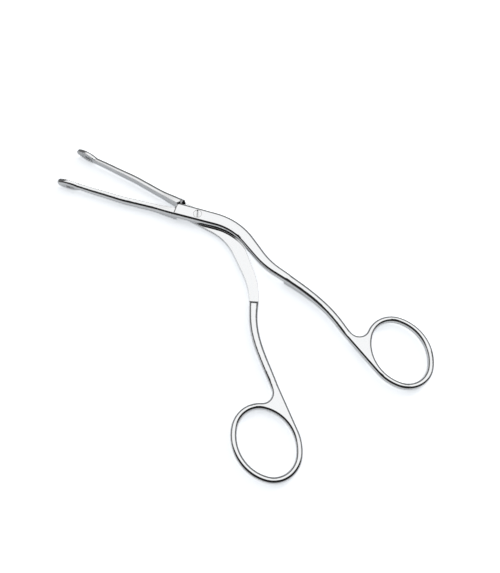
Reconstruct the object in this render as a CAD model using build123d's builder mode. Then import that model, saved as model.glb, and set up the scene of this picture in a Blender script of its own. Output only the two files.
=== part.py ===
from build123d import *
from dataclasses import dataclass
from math import atan2, ceil, copysign, cos, degrees, radians, sin, sqrt
import os

# Magill forceps: two forged steel halves that cross in a lap joint and turn on a slotted screw.
# Each half is one forging: toothed jaw pad, jaw arm, half-thickness lap, bent shank, finger ring.
# Lengths are in millimetres and angles in degrees.
# The origin is on the pivot axis at the height of the table. The jaws point along -X, +Z is up,
# and both handles bend towards -Y. The jaws are modelled a little open.

# Whole instrument
jaw_reach = 95.2                # pivot axis to jaw tip
rest_opening = 14.0             # angle between the jaws as modelled
jaw_clearance = 0.1             # between the tooth tips with the jaws shut

# Lap joint
lap_thickness = 3.9             # each half where the two cross
lap_clearance = 0.1             # between the two sliding faces
joint_width = 9.6               # at the jaw step
joint_round = 1.9               # along the edges of the joint and the bend
step_tip = 15.7                 # pivot axis to the jaw step, on the jaw line
step_side = 12.5                # pivot axis to the jaw step, at the side of the joint
step_clearance = 0.15           # between that step and the end of the other half's lap

# Pivot screw
screw_head_diameter = 5.2
screw_head_height = 1.5
screw_shank_diameter = 4.0
screw_thread_diameter = 3.3
screw_slot_width = 0.8
screw_slot_depth = 0.7
screw_slot_angle = 113.7
screw_recess = 0.06             # both ends lie just below the faces around them
running_clearance = 0.04        # radial, in the half that turns on the screw
thread_clearance = 0.02         # radial, in the half that holds the screw

# Jaw arm: a D section, flat towards the other jaw
arm_root_width = 4.6
arm_root_height = 7.5
arm_shoulder = 29.0             # pivot axis to where the root has thinned down to the arm
arm_shoulder_width = 3.5
arm_shoulder_height = 6.0
arm_middle_width = 3.4
arm_middle_height = 5.6
arm_tip_width = 2.9
arm_tip_height = 4.7
arm_bow = 1.0                   # how far the arm's middle stands off the closing line
arm_round = 1.9

# Jaw pad: an oval plate with cross teeth and a slot through it
pad_length = 16.4
pad_thickness = 3.0
pad_end_radius = 2.6
pad_round = 1.5
tooth_count = 11
tooth_pitch = 1.35
tooth_width = 1.2
tooth_depth = 0.45
pad_slot_length = 5.6
pad_slot_height = 1.8
pad_slot_from_tip = 9.4         # jaw tip to the slot's centre

# Bend and shank: widths seen from above, heights along the pivot axis
bend_width = 8.9
shoulder_width = 6.3
waist_width = 5.2               # to which the bend thins down, where the shank begins
shank_run = 24.0                # from there to the full shank
shank_width = 4.8
shank_height = 5.4
shank_round = 1.8
neck_run = 26.0                 # straight run of the shank before it meets the ring's side
neck_width = 4.5

# Finger ring: an oval of four tangent arcs
ring_hole_length = 37.8
ring_hole_width = 29.6
ring_end_radius = 12.2          # of the hole
ring_rod_width = 3.6
ring_rod_height = 4.4
ring_round = 1.6
ring_tilt = 10.5                # of its long axis, away from the neck
web_radius = 5.5                # between the neck and the ring

# Spine of each half, seen from above with its jaw on -X: distance along the jaw line, then
# distance towards the bend. The joint and the bend follow rounded corners up to the waist.
bend_corner = (25.0, 0.0)
bend_radius = 38.0
upper_corner = (51.2, 20.4)
upper_corner_radius = 44.0
upper_waist = (65.0, 25.25)
upper_shank = ((97.7, 40.7),)
upper_ring_centre = (138.7, 51.0)
upper_neck_angle = 35.8
upper_step_back = 0.5           # from the waist to the handle step
lower_corner = (55.5, 23.3)
lower_corner_radius = 50.0
lower_waist = (61.7, 35.6)
lower_shank = ((67.6, 45.2), (93.3, 68.0))
lower_ring_centre = (106.8, 98.4)
lower_neck_angle = 36.5
lower_step_back = 4.0

# Worked out from the sizes above
joint_height = 2 * lap_thickness + lap_clearance
middle = joint_height / 2
closing_face = jaw_clearance / 2
pad_centre = -jaw_reach + pad_length / 2
pad_face = Plane(origin=(pad_centre, closing_face, middle), x_dir=(1, 0, 0), z_dir=(0, 1, 0))
arm_end = pad_centre + pad_length / 4
station_spacing = 10.0          # between the cross-sections that shape an arm or a shank
beyond = 4 * joint_width        # takes a cut clear of the part


def side_radius(half_length, half_width, end_radius):
    """Radius of an oval's two side arcs, from that of its two end arcs."""
    end = half_length - end_radius
    return (end**2 + half_width**2 - end_radius**2) / (2 * (half_width - end_radius))


# The ring's own frame: the ring is centred on the origin and its neck arrives from -X, on +Y
hole_length = ring_hole_length / 2
hole_width = ring_hole_width / 2
outer_length = hole_length + ring_rod_width
outer_width = hole_width + ring_rod_width
outer_end_radius = ring_end_radius + ring_rod_width
outer_side_radius = side_radius(outer_length, outer_width, outer_end_radius)
outer_end_centre = Vector(outer_end_radius - outer_length, 0).rotate(Axis.Z, ring_tilt)
outer_side_centre = Vector(0, outer_width - outer_side_radius).rotate(Axis.Z, ring_tilt)
neck_start_along = outer_side_centre.X - neck_run
neck_across = outer_side_centre.Y + outer_side_radius - neck_width / 2


@dataclass
class Handle:
    """Where one half's handle runs, from its bend to its finger ring."""

    side: int                   # 1 bends towards the half's own jaw, -1 away from it
    corner: tuple
    corner_radius: float
    waist: tuple
    shank: tuple
    ring_centre: tuple
    neck_angle: float
    step_back: float            # from the waist to the handle step


upper_handle = Handle(
    side=1,
    corner=upper_corner,
    corner_radius=upper_corner_radius,
    waist=upper_waist,
    shank=upper_shank,
    ring_centre=upper_ring_centre,
    neck_angle=upper_neck_angle,
    step_back=upper_step_back,
)
lower_handle = Handle(
    side=-1,
    corner=lower_corner,
    corner_radius=lower_corner_radius,
    waist=lower_waist,
    shank=lower_shank,
    ring_centre=lower_ring_centre,
    neck_angle=lower_neck_angle,
    step_back=lower_step_back,
)


def strip_edge(corners, widths, radii, side):
    """One edge of a strip with rounded corners: 1 for the edge on its left, -1 for the other."""
    runs = [(end - start).normalized() for start, end in zip(corners, corners[1:])]
    miters = [(a + b) / (1 + a.dot(b)) for a, b in zip(runs, runs[1:])]
    points = [
        corner + side * width / 2 * Vector(0, 0, 1).cross(miter)
        for corner, width, miter in zip(corners, widths, [runs[0], *miters, runs[-1]])
    ]
    turns = [copysign(1, a.cross(b).Z) for a, b in zip(runs, runs[1:])]
    rounds = [radius - side * turn * width / 2 for radius, turn, width in zip(radii, turns, widths[1:])]
    return FilletPolyline(*points, radius=rounds)


def oval(half_length, half_width, end_radius):
    """Oval drawn with four tangent arcs."""
    end = half_length - end_radius
    side = side_radius(half_length, half_width, end_radius)
    meeting = degrees(atan2(side - half_width, end))
    with BuildSketch(mode=Mode.PRIVATE) as outline:
        with BuildLine():
            CenterArc((end, 0), end_radius, -meeting, 2 * meeting)
            CenterArc((0, half_width - side), side, meeting, 180 - 2 * meeting)
            CenterArc((-end, 0), end_radius, 180 - meeting, 2 * meeting)
            CenterArc((0, side - half_width), side, 180 + meeting, 180 - 2 * meeting)
        make_face()
    return outline.sketch


def cross_section(point, along, width, height, rounding):
    """Cross-section with rounded corners, square to the shank at mid-height."""
    sideways = along.cross(Vector(0, 0, 1))
    origin = (point.X, point.Y, middle)
    with BuildSketch(Plane(origin=origin, x_dir=sideways, z_dir=-along), mode=Mode.PRIVATE) as outline:
        RectangleRounded(width, height, rounding)
    return outline.sketch


def filled_in(stations):
    """The same stations with evenly changing ones added between them."""
    filled = [stations[0]]
    for start, end in zip(stations, stations[1:]):
        steps = ceil((end[0] - start[0]) / station_spacing)
        for step in range(1, steps + 1):
            filled.append([a + (b - a) * step / steps for a, b in zip(start, end)])
    return filled


def ring_outline():
    """Finger ring, the neck of its shank and the web between them, in the ring's own frame."""
    web_across = neck_across - neck_width / 2 - web_radius
    web_height = web_across - outer_end_centre.Y
    web_reach = sqrt((outer_end_radius + web_radius) ** 2 - web_height**2)
    with BuildSketch(mode=Mode.PRIVATE) as outline:
        with Locations((outer_side_centre.X, neck_across)):
            Rectangle(neck_run + neck_width, neck_width, align=(Align.MAX, Align.CENTER))
        with BuildLine():
            web = CenterArc(
                (outer_end_centre.X - web_reach, web_across),
                web_radius,
                90,
                -90 - degrees(atan2(web_height, web_reach)),
            )
            Polyline(web @ 0, (outer_end_centre.X, neck_across), web @ 1)
        make_face()
        with Locations(Rotation(0, 0, ring_tilt)):
            add(oval(outer_length, outer_width, outer_end_radius))
            add(oval(hole_length, hole_width, ring_end_radius), mode=Mode.SUBTRACT)
    return outline.sketch


def ring_plate(place):
    """That outline at the ring's height, edges rounded and the neck cut off square."""
    with BuildPart(mode=Mode.PRIVATE) as plate:
        with BuildSketch(Plane.XY.offset(-ring_rod_height / 2)):
            add(ring_outline())
        extrude(amount=ring_rod_height)
        fillet(faces().filter_by(Axis.Z).edges(), ring_round)
        split(bisect_by=Plane(origin=(neck_start_along, 0, 0), z_dir=(-1, 0, 0)), keep=Keep.BOTTOM)
    return plate.part.moved(place)


def jaw_pad():
    """Oval plate that stands up from the closing face, its outer edge rounded."""
    with BuildPart(mode=Mode.PRIVATE) as pad:
        with BuildSketch(pad_face):
            add(oval(pad_length / 2, middle, pad_end_radius))
        extrude(amount=pad_thickness)
        fillet(faces().sort_by(Axis.Y)[-1].edges(), pad_round)
    return pad.part


def forged_half(handle):
    """One half lying on the outer face of its lap, with its jaw along -X and its pad towards +Y."""

    def placed(point):
        """A point of the spine on the side towards which this half bends."""
        return Vector(point[0], handle.side * point[1])

    turn = handle.side * handle.neck_angle
    neck_along = Vector(cos(radians(turn)), sin(radians(turn)))
    ring_centre = placed(handle.ring_centre)
    neck_start = ring_centre + Vector(neck_start_along, neck_across).rotate(Axis.Z, turn)
    waist = placed(handle.waist)
    waist_along = (waist - placed(handle.corner)).normalized()

    with BuildPart() as half:
        # Joint and bend, with rounded edges; cut off square at the waist
        corners = [
            Vector(-step_tip, 0),
            placed(bend_corner),
            placed(handle.corner),
            waist + waist_along * waist_width,
        ]
        widths = [joint_width, bend_width, shoulder_width, waist_width]
        radii = [bend_radius, handle.corner_radius]
        with BuildSketch():
            with BuildLine():
                left = strip_edge(corners, widths, radii, 1)
                right = strip_edge(corners, widths, radii, -1)
                Line(left @ 0, right @ 0)
                Line(left @ 1, right @ 1)
            make_face()
        extrude(amount=joint_height)
        fillet(faces().filter_by(Axis.Z).edges(), joint_round)
        split(bisect_by=Plane(origin=waist, z_dir=waist_along), keep=Keep.BOTTOM)
        shank_root = faces().sort_by_distance((waist.X, waist.Y, middle))[0]

        # Finger ring
        add(ring_plate(Location((ring_centre.X, ring_centre.Y, middle), (0, 0, turn))))

        # Shank between the two
        between = [placed(point) for point in handle.shank]
        with BuildLine(mode=Mode.PRIVATE):
            shank = Spline(waist, *between, neck_start, tangents=(waist_along, neck_along))
        stations = [
            (0, waist_width, joint_height, joint_round),
            (shank_run, shank_width, shank_height, shank_round),
            (shank.length, neck_width, ring_rod_height, ring_round),
        ]
        sections = [shank_root]
        for run, width, height, rounding in filled_in(stations)[1:]:
            sections.append(
                cross_section(
                    shank.position_at(run, PositionMode.LENGTH),
                    shank.tangent_at(run, PositionMode.LENGTH),
                    width,
                    height,
                    rounding,
                )
            )
        loft(sections=sections)

        # Jaw pad
        add(jaw_pad())

        # Jaw arm, from inside the joint to inside the pad
        arm_middle = (step_tip - arm_end) / 2
        arm_stations = [
            (step_side / 2, arm_root_width, arm_root_height, 0),
            (step_tip, arm_root_width, arm_root_height, 0),
            (arm_shoulder, arm_shoulder_width, arm_shoulder_height, arm_bow / 2),
            (arm_middle, arm_middle_width, arm_middle_height, arm_bow),
            (-arm_end, arm_tip_width, arm_tip_height, 0),
        ]
        for from_pivot, width, height, stand_off in filled_in(arm_stations):
            foot = (-from_pivot, closing_face + stand_off, middle)
            with BuildSketch(Plane(origin=foot, x_dir=(0, 1, 0), z_dir=(-1, 0, 0))):
                Rectangle(width, height, align=(Align.MIN, Align.CENTER))
                fillet(vertices().group_by(Axis.X)[-1], arm_round)
        loft()

        # Nose of the lap, cut back to clear the other half's jaw step
        with BuildSketch():
            with BuildLine():
                Polyline(
                    (-beyond, closing_face),
                    (step_clearance - step_tip, closing_face),
                    (step_clearance - step_tip, 0),
                    (step_clearance - step_side, -joint_width / 2),
                    (step_clearance - step_side + (step_tip - step_side), -joint_width),
                    (-beyond, -joint_width),
                    close=True,
                )
            make_face()
        extrude(amount=joint_height, mode=Mode.SUBTRACT)

        # Lap milled to half thickness between the jaw step and the handle step
        jaw_step = Vector(-step_tip, 0)
        jaw_step_run = Vector(step_tip - step_side, joint_width / 2).normalized() * beyond
        handle_step = waist - waist_along * handle.step_back
        handle_step_run = waist_along.cross(Vector(0, 0, 1)) * beyond
        with BuildSketch(Plane.XY.offset(lap_thickness)):
            with BuildLine():
                Polyline(
                    jaw_step - jaw_step_run,
                    handle_step + handle_step_run,
                    handle_step - handle_step_run,
                    jaw_step + jaw_step_run,
                    close=True,
                )
            make_face()
        extrude(amount=joint_height, mode=Mode.SUBTRACT)

        # Cross teeth
        with BuildSketch():
            with Locations((pad_centre, closing_face)):
                with GridLocations(tooth_pitch, 0, tooth_count, 1):
                    Polygon((-tooth_width / 2, 0), (tooth_width / 2, 0), (0, tooth_depth), align=None)
        extrude(amount=joint_height, mode=Mode.SUBTRACT)

        # Slot through the pad
        with BuildSketch(pad_face):
            with Locations((pad_slot_from_tip - pad_length / 2, 0)):
                SlotOverall(pad_slot_length, pad_slot_height)
        extrude(amount=pad_thickness, mode=Mode.SUBTRACT)
    return half


# Each half is turned by half the rest opening; the upper one is also turned over
half_opening = radians(rest_opening / 2)
lower_frame = Plane(origin=(0, 0, 0), x_dir=(cos(half_opening), -sin(half_opening), 0), z_dir=(0, 0, 1))
upper_frame = Plane(
    origin=(0, 0, joint_height), x_dir=(cos(half_opening), sin(half_opening), 0), z_dir=(0, 0, -1)
)

# Lower half, which holds the screw's thread
with BuildPart(lower_frame) as lower_half:
    add(forged_half(lower_handle))
    Hole(screw_thread_diameter / 2 + thread_clearance)
lower_half.part.label = "lower_half"

# Upper half, which turns on the screw's shank and takes its head
with BuildPart(upper_frame) as upper_half:
    add(forged_half(upper_handle))
    Hole(screw_shank_diameter / 2 + running_clearance)
    with BuildSketch(upper_frame):
        Circle(screw_head_diameter / 2 + running_clearance)
    extrude(amount=screw_head_height + screw_recess + lap_clearance / 2, mode=Mode.SUBTRACT)
upper_half.part.label = "upper_half"

# Pivot screw: slotted head, shank through the upper half, thread in the lower half
head_top = joint_height - screw_recess
shank_end = lap_thickness + lap_clearance / 2
with BuildPart() as pivot_screw:
    with Locations((0, 0, screw_recess)):
        Cylinder(
            screw_thread_diameter / 2, shank_end - screw_recess, align=(Align.CENTER, Align.CENTER, Align.MIN)
        )
    with Locations((0, 0, shank_end)):
        Cylinder(
            screw_shank_diameter / 2, head_top - shank_end, align=(Align.CENTER, Align.CENTER, Align.MIN)
        )
    with Locations((0, 0, head_top)):
        Cylinder(
            screw_head_diameter / 2, screw_head_height, align=(Align.CENTER, Align.CENTER, Align.MAX)
        )
    with BuildSketch(Plane.XY.offset(head_top)):
        Rectangle(screw_head_diameter, screw_slot_width, rotation=screw_slot_angle)
    extrude(amount=-screw_slot_depth, mode=Mode.SUBTRACT)
pivot_screw.part.label = "pivot_screw"

os.makedirs("parts", exist_ok=True)
export_step(lower_half.part, "parts/lower_half.step")
export_step(upper_half.part, "parts/upper_half.step")
export_step(pivot_screw.part, "parts/pivot_screw.step")
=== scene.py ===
"""Looks, stage, light and camera for a pair of Magill forceps lying on a white table."""

import logging
import math
from dataclasses import dataclass, field
from enum import Enum

import bmesh
import bpy
from mathutils import Matrix, Vector

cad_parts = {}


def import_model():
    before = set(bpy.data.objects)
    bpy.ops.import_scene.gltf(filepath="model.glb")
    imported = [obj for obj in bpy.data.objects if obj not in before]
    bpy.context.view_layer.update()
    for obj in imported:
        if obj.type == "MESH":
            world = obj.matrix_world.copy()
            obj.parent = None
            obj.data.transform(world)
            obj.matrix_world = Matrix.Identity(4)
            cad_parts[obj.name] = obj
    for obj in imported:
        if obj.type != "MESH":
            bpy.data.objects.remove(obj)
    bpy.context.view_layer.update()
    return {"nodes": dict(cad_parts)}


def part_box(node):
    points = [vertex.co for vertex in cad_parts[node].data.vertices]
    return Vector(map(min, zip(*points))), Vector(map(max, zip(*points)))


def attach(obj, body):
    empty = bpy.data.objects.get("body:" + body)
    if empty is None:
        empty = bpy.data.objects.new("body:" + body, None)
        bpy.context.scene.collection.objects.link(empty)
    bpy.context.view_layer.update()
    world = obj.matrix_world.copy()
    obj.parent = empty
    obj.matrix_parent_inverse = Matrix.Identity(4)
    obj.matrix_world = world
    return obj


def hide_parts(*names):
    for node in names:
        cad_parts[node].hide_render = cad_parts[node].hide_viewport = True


LOG = logging.getLogger("forceps")
MM = 0.001
FRONT_AZIMUTH_DEG = 23.7  # the side from which the photograph was taken

# The sockets of a Mix node that carry colours
MIX_FIRST = 6
MIX_SECOND = 7
MIX_RESULT = 2


def linear(hex_colour: str) -> tuple[float, float, float, float]:
    """Turn an sRGB hex colour into the linear colour that the shaders take.

    Args:
        hex_colour: Six hex digits after a hash sign.

    Returns:
        Red, green, blue and alpha.
    """
    channels = []
    for start in (1, 3, 5):
        value = int(hex_colour[start : start + 2], 16) / 255
        # The sRGB standard's transfer curve
        channels.append(value / 12.92 if value <= 0.04045 else ((value + 0.055) / 1.055) ** 2.4)
    return (channels[0], channels[1], channels[2], 1.0)


def add_node(
    tree: bpy.types.NodeTree,
    kind: str,
    settings: dict[str, object] | None = None,
    inputs: dict[str | int, object] | None = None,
) -> bpy.types.Node:
    """Add a node with its settings, socket values and incoming links.

    Args:
        tree: The node tree that gets the node.
        kind: Blender's type name for the node.
        settings: Properties of the node itself.
        inputs: For each socket, by name or number, a value or the output socket that feeds it.

    Returns:
        The new node.
    """
    node = tree.nodes.new(kind)
    for name, value in (settings or {}).items():
        setattr(node, name, value)
    for socket, value in (inputs or {}).items():
        if isinstance(value, bpy.types.NodeSocket):
            tree.links.new(value, node.inputs[socket])
        else:
            node.inputs[socket].default_value = value
    return node


def add_object(name: str, data: bpy.types.ID) -> bpy.types.Object:
    """Add an object to the scene, at the origin.

    Args:
        name: The object's name.
        data: Its mesh, lamp or camera.

    Returns:
        The new object.
    """
    thing = bpy.data.objects.new(name, data)
    bpy.context.scene.collection.objects.link(thing)
    return thing


def mesh_from(name: str, shape: bmesh.types.BMesh) -> bpy.types.Mesh:
    """Turn an edited shape into a mesh, and let go of the shape.

    Args:
        name: The mesh's name.
        shape: The edited shape, which can't be used afterwards.

    Returns:
        The new mesh.
    """
    mesh = bpy.data.meshes.new(name)
    shape.to_mesh(mesh)
    shape.free()
    return mesh


def face_along(thing: bpy.types.Object, direction: Vector) -> None:
    """Turn a camera or lamp to look in a direction, upright."""
    thing.rotation_mode = "QUATERNION"
    thing.rotation_quaternion = direction.to_track_quat("-Z", "Y")


def towards(azimuth_deg: float, elevation_deg: float) -> Vector:
    """Work out the direction from the instrument towards a viewpoint.

    Args:
        azimuth_deg: Angle from -Y, towards +X.
        elevation_deg: Angle above the table.

    Returns:
        The direction, of length 1.
    """
    azimuth = math.radians(azimuth_deg)
    elevation = math.radians(elevation_deg)
    level = math.cos(elevation)
    return Vector((math.sin(azimuth) * level, -math.cos(azimuth) * level, math.sin(elevation)))


class Surface(Enum):
    """The finishes on the instrument, by the name of their material."""

    MIRROR = "mirror_polished_stainless_steel"
    SCREW = "turned_and_polished_stainless_steel"


@dataclass(frozen=True)
class SteelFinish:
    """A polished stainless steel surface.

    Buffing leaves a mirror that is never quite flat: long soft waves bend the reflections, fine
    hairlines blur them a little, and handling leaves faint cloudy smudges. It also wears every
    sharp edge round. Narrow grooves and corners get painted shade: the colour darkens towards a
    dark grey where little open sky reaches.
    """

    surface: Surface
    colour: str
    roughness: float
    smudge_roughness: float
    smudge_size_mm: float
    wave_length_mm: float
    wave_height_mm: float
    hairline_pitch_mm: float
    hairline_depth_mm: float
    edge_radius_mm: float
    # painted shade in grooves and corners: how far the open-sky test reaches, and the dark grey it
    # paints
    painted_shade_reach_mm: float
    painted_shade_colour: str
    smudge_detail: float = 4.0
    smudge_from: float = 0.45  # value of the noise at which a smudge begins
    smudge_full: float = 0.75  # and at which it is at its strongest
    wave_detail: float = 1.0
    hairline_detail: float = 3.0
    hairline_bearing_deg: float = 25.0
    hairline_slimness: float = 0.04  # a hairline's width as a share of its length
    painted_shade_darkest_at: float = 0.62  # share of open sky at which the painted shade in a groove is at its darkest
    painted_shade_clear_at: float = 0.90  # and at which the painted shade has gone and the steel is bright
    ray_samples: int = 8

    def material(self) -> bpy.types.Material:
        """Build the material.

        Returns:
            A metal whose roughness and bump come from its real sizes.
        """
        material = bpy.data.materials.new(self.surface.value)
        material.use_nodes = True
        tree = material.node_tree
        tree.nodes.clear()
        place = add_node(tree, "ShaderNodeTexCoord").outputs["Object"]
        steel = add_node(
            tree,
            "ShaderNodeBsdfPrincipled",
            inputs={
                "Base Color": self._painted_shade_tone(tree),
                "Metallic": 1.0,
                "Roughness": self._smudges(tree, place),
                "Normal": self._relief(tree, place),
            },
        )
        add_node(tree, "ShaderNodeOutputMaterial", inputs={"Surface": steel.outputs["BSDF"]})
        return material

    def _smudges(
        self, tree: bpy.types.NodeTree, place: bpy.types.NodeSocket
    ) -> bpy.types.NodeSocket:
        """Vary the roughness from clean steel to a smudge.

        Args:
            tree: The material's node tree.
            place: The object's own coordinates.

        Returns:
            The roughness.
        """
        return add_node(
            tree,
            "ShaderNodeMapRange",
            inputs={
                "Value": self._noise(tree, place, self.smudge_size_mm, self.smudge_detail),
                "From Min": self.smudge_from,
                "From Max": self.smudge_full,
                "To Min": self.roughness,
                "To Max": self.smudge_roughness,
            },
        ).outputs["Result"]

    def _relief(
        self, tree: bpy.types.NodeTree, place: bpy.types.NodeSocket
    ) -> bpy.types.NodeSocket:
        """Wear the edges round, then add the waves and the hairlines.

        Args:
            tree: The material's node tree.
            place: The object's own coordinates.

        Returns:
            The surface's normal.
        """
        worn_edges = add_node(
            tree,
            "ShaderNodeBevel",
            {"samples": self.ray_samples},
            {"Radius": self.edge_radius_mm * MM},
        )
        stretched = add_node(
            tree,
            "ShaderNodeMapping",
            inputs={
                "Vector": place,
                "Rotation": (0.0, 0.0, math.radians(self.hairline_bearing_deg)),
                "Scale": (self.hairline_slimness, 1.0, 1.0),
            },
        )
        waves = self._noise(tree, place, self.wave_length_mm, self.wave_detail)
        hairlines = self._noise(
            tree, stretched.outputs["Vector"], self.hairline_pitch_mm, self.hairline_detail
        )
        wavy = self._bump(tree, waves, self.wave_height_mm, worn_edges.outputs["Normal"])
        return self._bump(tree, hairlines, self.hairline_depth_mm, wavy)

    def _painted_shade_tone(self, tree: bpy.types.NodeTree) -> bpy.types.NodeSocket:
        """Paint shade into the steel's colour, darker where little of the sky reaches it.

        Args:
            tree: The material's node tree.

        Returns:
            The colour, with the painted shade.
        """
        open_sky = add_node(
            tree,
            "ShaderNodeAmbientOcclusion",
            {"samples": self.ray_samples, "only_local": True},
            {"Distance": self.painted_shade_reach_mm * MM},
        )
        painted_shade_factor = add_node(
            tree,
            "ShaderNodeMapRange",
            inputs={
                "Value": open_sky.outputs["AO"],
                "From Min": self.painted_shade_darkest_at,
                "From Max": self.painted_shade_clear_at,
            },
        )
        # painted shade: mix from the dark grey to the steel's colour by how much sky each point
        # sees
        return add_node(
            tree,
            "ShaderNodeMix",
            {"data_type": "RGBA"},
            {
                "Factor": painted_shade_factor.outputs["Result"],
                MIX_FIRST: linear(self.painted_shade_colour),
                MIX_SECOND: linear(self.colour),
            },
        ).outputs[MIX_RESULT]

    def _noise(
        self,
        tree: bpy.types.NodeTree,
        place: bpy.types.NodeSocket,
        size_mm: float,
        detail: float,
    ) -> bpy.types.NodeSocket:
        """Add a noise of a real size.

        Args:
            tree: The material's node tree.
            place: The coordinates that it follows.
            size_mm: Distance from one blot to the next.
            detail: How much finer noise lies on top.

        Returns:
            The noise's value.
        """
        scale = 1 / (size_mm * MM)
        return add_node(
            tree,
            "ShaderNodeTexNoise",
            inputs={"Vector": place, "Scale": scale, "Detail": detail},
        ).outputs["Fac"]

    def _bump(
        self,
        tree: bpy.types.NodeTree,
        height: bpy.types.NodeSocket,
        depth_mm: float,
        normal: bpy.types.NodeSocket,
    ) -> bpy.types.NodeSocket:
        """Add a bump of a real depth.

        Args:
            tree: The material's node tree.
            height: The pattern, from low to high.
            depth_mm: Distance between the two.
            normal: The normal that it starts from.

        Returns:
            The new normal.
        """
        return add_node(
            tree,
            "ShaderNodeBump",
            inputs={"Distance": depth_mm * MM, "Height": height, "Normal": normal},
        ).outputs["Normal"]


# Forged and mirror-buffed stainless steel: bright, neutral, with crisp dark reflection lines.
MIRROR_STEEL = SteelFinish(
    surface=Surface.MIRROR,
    colour="#CDCECF",
    roughness=0.05,
    smudge_roughness=0.09,
    smudge_size_mm=22.0,
    wave_length_mm=9.0,
    wave_height_mm=0.012,
    hairline_pitch_mm=0.5,
    hairline_depth_mm=0.0003,
    edge_radius_mm=0.3,
    # painted shade: grooves and corners within this reach darken towards this grey
    painted_shade_reach_mm=0.8,
    painted_shade_colour="#3A3B3D",
)

# Turned screw, polished flush with the joint: a touch greyer and less clear than the halves.
SCREW_STEEL = SteelFinish(
    surface=Surface.SCREW,
    colour="#C9CACB",
    roughness=0.06,
    smudge_roughness=0.10,
    smudge_size_mm=6.0,
    wave_length_mm=4.0,
    wave_height_mm=0.006,
    hairline_pitch_mm=0.4,
    hairline_depth_mm=0.0004,
    edge_radius_mm=0.15,
    # painted shade: grooves and corners within this reach darken towards this grey
    painted_shade_reach_mm=0.5,
    painted_shade_colour="#3A3B3D",
)


@dataclass
class BevelledStep:
    """The lower half again, with a bevel on the upper edge of its handle step.

    The step is where the milled lap ends and the full shank begins. The photograph shows a dark
    line across the shank there, which is taken for a bevel that faces the joint.
    """

    name: str = "lower_half_with_bevelled_step"
    node: str = "lower_half"
    body: str = "lower"
    slot: str = "polished_steel"
    edge_mm: tuple[float, float] = (55.55, -39.09)  # middle of that edge, seen from above
    shank_bearing_deg: float = -70.3  # direction of the shank there, from +X
    bevel_mm: float = 1.8
    cutter_mm: float = 7.0  # side of the block that cuts the bevel, wider than the shank
    merge_mm: float = 0.001
    sharp_from_deg: float = 30.0

    def build(self, solid: bpy.types.Object, material: bpy.types.Material) -> bpy.types.Object:
        """Cut the bevel into a merged copy of the solid, which then stands for it.

        Args:
            solid: The lower half's own solid.
            material: The finish of the half.

        Returns:
            The bevelled half.
        """
        half = add_object(self.name, self._merged(solid.data))
        cutter = self._cutter()
        bevel = half.modifiers.new("bevel", "BOOLEAN")
        bevel.operation = "DIFFERENCE"
        bevel.solver = "EXACT"
        bevel.object = cutter
        shaped = half.evaluated_get(bpy.context.evaluated_depsgraph_get())
        half.data = bpy.data.meshes.new_from_object(shaped)
        half.modifiers.clear()
        bpy.data.objects.remove(cutter)
        self._keep_corners_crisp(half.data)
        half.data.materials.clear()
        half.data.materials.append(material)
        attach(half, self.body)
        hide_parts(self.node)
        LOG.info("%s: %s", half.name, material.name)
        return half

    def _merged(self, mesh: bpy.types.Mesh) -> bpy.types.Mesh:
        """Copy a mesh and join its faces, with a sharp edge wherever the two sides were split.

        Args:
            mesh: The solid's mesh, whose faces are split along each sharp edge.

        Returns:
            The closed copy.
        """
        faces = bmesh.new()
        faces.from_mesh(mesh)
        for edge in faces.edges:
            edge.smooth = not edge.is_boundary
        bmesh.ops.remove_doubles(faces, verts=faces.verts, dist=self.merge_mm * MM)
        merged = mesh.copy()
        faces.to_mesh(merged)
        faces.free()
        return merged

    def _keep_corners_crisp(self, mesh: bpy.types.Mesh) -> None:
        """Make every edge sharp at which the surface turns by more than a fillet's facets do.

        Args:
            mesh: The bevelled half's mesh, which is changed.
        """
        faces = bmesh.new()
        faces.from_mesh(mesh)
        for edge in faces.edges:
            if edge.calc_face_angle(0.0) > math.radians(self.sharp_from_deg):
                edge.smooth = False
        faces.to_mesh(mesh)
        faces.free()

    def _cutter(self) -> bpy.types.Object:
        """Build the block whose lower face lies on the bevel.

        Returns:
            The block, which overlaps nothing but the step's edge.
        """
        bearing = math.radians(self.shank_bearing_deg)
        along = Vector((math.cos(bearing), math.sin(bearing), 0.0))
        up = Vector((0.0, 0.0, 1.0))
        outward = (up - along).normalized()
        across = along.cross(up)
        turn = Matrix((across, outward.cross(across), outward)).transposed().to_4x4()
        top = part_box(self.node)[1][2]
        edge = Vector((self.edge_mm[0] * MM, self.edge_mm[1] * MM, top))
        bevel_middle = edge + (along - up) * self.bevel_mm * MM / 2
        centre = bevel_middle + outward * self.cutter_mm * MM / 2
        block = bmesh.new()
        bmesh.ops.create_cube(
            block, size=self.cutter_mm * MM, matrix=Matrix.Translation(centre) @ turn
        )
        return add_object("cutter", mesh_from("cutter", block))


@dataclass
class Forceps:
    """The instrument itself: two forged halves and the screw that joins them."""

    upper: str = "upper_half"
    screw: str = "pivot_screw"
    step: BevelledStep = field(default_factory=BevelledStep)

    def dress(self, nodes: dict[str, bpy.types.Object]) -> None:
        """Give the solids their finish and bevel the lower half's step.

        Args:
            nodes: The instrument's solids by name.
        """
        mirror = MIRROR_STEEL.material()
        self._put_on(nodes[self.upper], mirror)
        self._put_on(nodes[self.step.node], mirror)
        self._put_on(nodes[self.screw], SCREW_STEEL.material())
        self.step.build(nodes[self.step.node], mirror)

    def _put_on(self, solid: bpy.types.Object, material: bpy.types.Material) -> None:
        """Make the material the solid's only one.

        Args:
            solid: One of the instrument's solids.
            material: Its finish.
        """
        if not solid.material_slots:
            solid.data.materials.append(material)
        for slot in solid.material_slots:
            slot.material = material
        LOG.info("%s: %s", solid.name, material.name)


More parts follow.
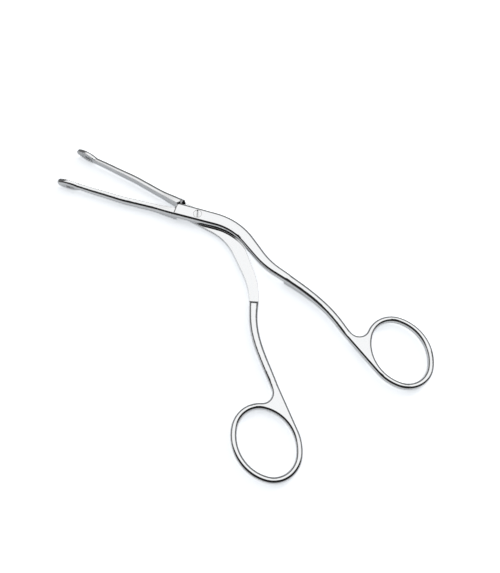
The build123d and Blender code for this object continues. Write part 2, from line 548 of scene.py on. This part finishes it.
@dataclass
class Table:
    """A white table top that keeps the instrument's soft shadow.

    Its edges lie outside the photograph's view. A low side view shows where it ends.
    """

    half_width_m: float = 3.0
    colour: str = "#F7F8FA"
    glow_colour: str = "#F2F6FA"
    own_light: float = 0.70  # strength of the glow that the camera sees
    reflected_share: float = 0.55  # how much of it a reflection sees

    def build(self) -> bpy.types.Object:
        """Build the table top and its material.

        Returns:
            The table top.
        """
        sheet = bmesh.new()
        bmesh.ops.create_grid(sheet, x_segments=1, y_segments=1, size=self.half_width_m)
        top = add_object("table_top", mesh_from("table_top", sheet))
        top.data.materials.append(self.material())
        LOG.info("table_top: white")
        return top

    def material(self) -> bpy.types.Material:
        """Build the white laminate, which stays white to the camera and in reflections.

        Returns:
            A matt white with a glow that lights nothing else.
        """
        material = bpy.data.materials.new("white_laminate")
        material.use_nodes = True
        tree = material.node_tree
        tree.nodes.clear()
        path = add_node(tree, "ShaderNodeLightPath")
        reflected = add_node(
            tree,
            "ShaderNodeMath",
            {"operation": "MAXIMUM"},
            {0: path.outputs["Is Glossy Ray"], 1: path.outputs["Is Transmission Ray"]},
        )
        seen = add_node(
            tree,
            "ShaderNodeMath",
            {"operation": "MULTIPLY_ADD"},
            {
                0: reflected.outputs["Value"],
                1: self.reflected_share,
                2: path.outputs["Is Camera Ray"],
            },
        )
        glow = add_node(
            tree,
            "ShaderNodeMath",
            {"operation": "MULTIPLY"},
            {0: seen.outputs["Value"], 1: self.own_light},
        )
        matt = add_node(tree, "ShaderNodeBsdfDiffuse", inputs={"Color": linear(self.colour)})
        light = add_node(
            tree,
            "ShaderNodeEmission",
            inputs={"Color": linear(self.glow_colour), "Strength": glow.outputs["Value"]},
        )
        both = add_node(
            tree,
            "ShaderNodeAddShader",
            inputs={0: matt.outputs["BSDF"], 1: light.outputs["Emission"]},
        )
        add_node(tree, "ShaderNodeOutputMaterial", inputs={"Surface": both.outputs["Shader"]})
        return material


@dataclass
class Studio:
    """A light tent: bright overhead, darker low down behind, dark on the camera's side.

    Heights go from 0 at the horizon to 1 overhead, and sides from -1 behind to 1 in front.
    """

    colour: str = "#FFFFFF"
    overhead: float = 1.5
    far_edge: float = 0.18  # strength low down behind
    far_edge_from: float = 0.62  # height at which that begins to brighten
    far_edge_to: float = 0.86  # and at which it is as bright as overhead
    front: float = 0.02  # strength in front, high up
    front_edge: float = 0.28  # and at the horizon
    front_edge_from: float = 0.12
    front_edge_to: float = 0.50
    front_from: float = -0.06  # side at which the front begins
    front_to: float = 0.08
    softbox_size_m: float = 0.45
    softbox_distance_m: float = 0.9
    softbox_watts: float = 3.6
    softbox_bearing: tuple[float, float, float] = (0.36, 0.93, 0.55)

    def build_surroundings(self) -> None:
        """Build the world from the height and side of each direction."""
        world = bpy.data.worlds.new("light_tent")
        bpy.context.scene.world = world
        world.use_nodes = True
        tree = world.node_tree
        tree.nodes.clear()
        direction = add_node(tree, "ShaderNodeTexCoord").outputs["Generated"]
        height = add_node(
            tree, "ShaderNodeSeparateXYZ", inputs={"Vector": direction}
        ).outputs["Z"]
        side = add_node(
            tree,
            "ShaderNodeVectorMath",
            {"operation": "DOT_PRODUCT"},
            {0: direction, 1: towards(FRONT_AZIMUTH_DEG, 0.0)},
        ).outputs["Value"]
        far_tone = self._step(
            tree, height, (self.far_edge_from, self.far_edge_to), (self.far_edge, self.overhead)
        )
        front_tone = self._step(
            tree, height, (self.front_edge_from, self.front_edge_to), (self.front_edge, self.front)
        )
        tone = self._step(tree, side, (self.front_from, self.front_to), (far_tone, front_tone))
        glow = add_node(
            tree, "ShaderNodeBackground", inputs={"Color": linear(self.colour), "Strength": tone}
        )
        add_node(tree, "ShaderNodeOutputWorld", inputs={"Surface": glow.outputs["Background"]})
        LOG.info("surroundings: light tent")

    def _step(
        self,
        tree: bpy.types.NodeTree,
        value: bpy.types.NodeSocket,
        span: tuple[float, float],
        tones: tuple[float | bpy.types.NodeSocket, float | bpy.types.NodeSocket],
    ) -> bpy.types.NodeSocket:
        """Go softly from one tone to another.

        Args:
            tree: The world's node tree.
            value: What the tone follows.
            span: The values at which the change begins and ends.
            tones: The tones before and after it.

        Returns:
            The tone's socket.
        """
        return add_node(
            tree,
            "ShaderNodeMapRange",
            {"interpolation_type": "SMOOTHSTEP"},
            {
                "Value": value,
                "From Min": span[0],
                "From Max": span[1],
                "To Min": tones[0],
                "To Max": tones[1],
            },
        ).outputs["Result"]

    def build_softbox(self, target: Vector) -> None:
        """Hang one softbox behind the instrument on the right, for the soft shadow.

        Args:
            target: The point that it lights.
        """
        lamp = bpy.data.lights.new("softbox", "AREA")
        lamp.shape = "RECTANGLE"
        lamp.size = self.softbox_size_m
        lamp.size_y = self.softbox_size_m
        lamp.energy = self.softbox_watts
        bearing = Vector(self.softbox_bearing).normalized()
        box = add_object("softbox", lamp)
        box.location = target + bearing * self.softbox_distance_m
        box.visible_glossy = False
        face_along(box, -bearing)
        LOG.info("softbox: hung")


@dataclass
class Photographer:
    """The camera, placed where the fit to the photograph puts it."""

    aim_mm: tuple[float, float, float] = (48.5, -29.0, 0.0)
    elevation_deg: float = 67.0
    distance_mm: float = 363.6
    lens_mm: float = 37.7
    sensor_mm: float = 36.0
    nearest_mm: float = 10.0

    def place(self) -> Vector:
        """Place the camera and make it the scene's own.

        Returns:
            The point it looks at.
        """
        back = towards(FRONT_AZIMUTH_DEG, self.elevation_deg)
        aim = Vector(self.aim_mm) * MM
        data = bpy.data.cameras.new("camera")
        data.lens = self.lens_mm
        data.sensor_width = self.sensor_mm
        data.clip_start = self.nearest_mm * MM
        camera = add_object("camera", data)
        camera.location = aim + back * self.distance_mm * MM
        face_along(camera, -back)
        bpy.context.scene.camera = camera
        LOG.info("camera: placed")
        return aim


def main() -> None:
    """Dress the instrument, then set the table, the light and the camera."""
    logging.basicConfig(level=logging.INFO, format="%(name)s: %(message)s")
    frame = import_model()
    Forceps().dress(frame["nodes"])
    Table().build()
    studio = Studio()
    studio.build_surroundings()
    aim = Photographer().place()
    studio.build_softbox(aim)
    bpy.context.scene.view_settings.view_transform = "Standard"


if __name__ == "__main__":
    main()
